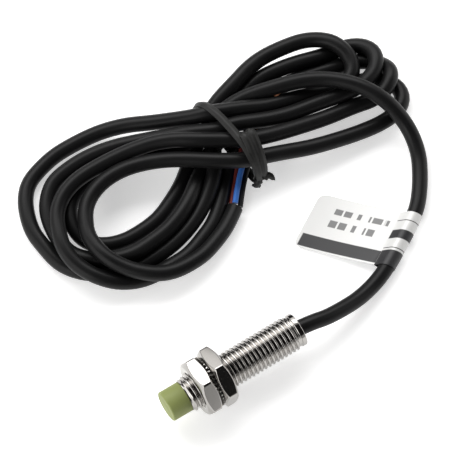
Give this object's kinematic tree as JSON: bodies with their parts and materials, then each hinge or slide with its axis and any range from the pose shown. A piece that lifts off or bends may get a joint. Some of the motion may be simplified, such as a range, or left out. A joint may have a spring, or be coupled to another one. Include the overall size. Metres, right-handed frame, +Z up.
{
  "type": "inductive proximity sensor",
  "caption": "Cylindrical M8 inductive proximity sensor with a projecting plastic cap, two hex nuts, a toothed washer and a tied hank of cable with bare ends.",
  "frame": {"origin": "under the middle of the barrel, on the surface that the lowest nut corner and the cable rest on", "axes": "+X along the barrel's axis, out of the sensing face; +Z up; the hank lies on the -Y side"},
  "size_m": [0.0886, 0.0719, 0.0138],
  "materials": {
    "nickel_plate": "bright nickel plate on brass",
    "cap_plastic": "matte moulded PBT, light olive green",
    "ferrite": "sintered, dark grey",
    "bobbin_plastic": "moulded, cream",
    "enamelled_copper": "enamelled wire, glossy",
    "board_laminate": "solder-mask green",
    "chip_black": "moulded epoxy",
    "ceramic_tan": "fired ceramic",
    "potting_resin": "cast epoxy",
    "bush_rubber": "moulded, matte",
    "jacket_black": "satin oil-resistant PVC, black",
    "wire_brown": "PVC insulation, red-brown",
    "wire_blue": "PVC insulation, blue",
    "wire_black": "PVC insulation, black",
    "bare_copper": "bare stranded copper",
    "tie_black": "ribbed PVC-coated wire tie",
    "label_film": "silver polyester film, satin, with a plain black band"
  },
  "bodies": {
    "sensor": {"barrel": "nickel_plate", "sensing_cap": "cap_plastic", "ferrite_core": "ferrite", "coil_bobbin": "bobbin_plastic", "coil_winding": "enamelled_copper", "circuit_board": "board_laminate", "tank_capacitor": "ceramic_tan", "gain_resistor": "chip_black", "control_chip": "chip_black", "output_transistor": "chip_black", "pull_up_resistor": "chip_black", "reverse_diode": "chip_black", "supply_capacitor": "ceramic_tan", "potting_resin": "potting_resin", "rear_bush": "bush_rubber", "inner_wire_brown": "wire_brown", "inner_wire_blue": "wire_blue", "inner_wire_black": "wire_black", "cable_run": "jacket_black", "cable_hank": "jacket_black", "cable_label": "label_film", "core_brown": "wire_brown", "core_blue": "wire_blue", "core_black": "wire_black", "conductor_brown": "bare_copper", "conductor_blue": "bare_copper", "conductor_black": "bare_copper", "twist_tie": "tie_black"},
    "front_nut": {"front_nut": "nickel_plate"},
    "lock_washer": {"lock_washer": "nickel_plate"},
    "rear_nut": {"rear_nut": "nickel_plate"}
  },
  "joints": [
    {"name": "front_nut_travel", "type": "slide", "parent": "sensor", "child": "front_nut", "axis": [1, 0, 0], "range_m": [0, 0.0023]},
    {"name": "lock_washer_travel", "type": "slide", "parent": "sensor", "child": "lock_washer", "axis": [-1, 0, 0], "range_m": [0, 0.0165]},
    {"name": "rear_nut_turn", "type": "hinge", "parent": "lock_washer", "child": "rear_nut", "pos_m": [0, 0, 0.00689], "axis": [-1, 0, 0], "range_deg": [0, 5941]}
  ],
  "couplings": [
    {"joint": "rear_nut_turn", "follows": "lock_washer_travel", "rad_per_m": 6283.2}
  ]
}
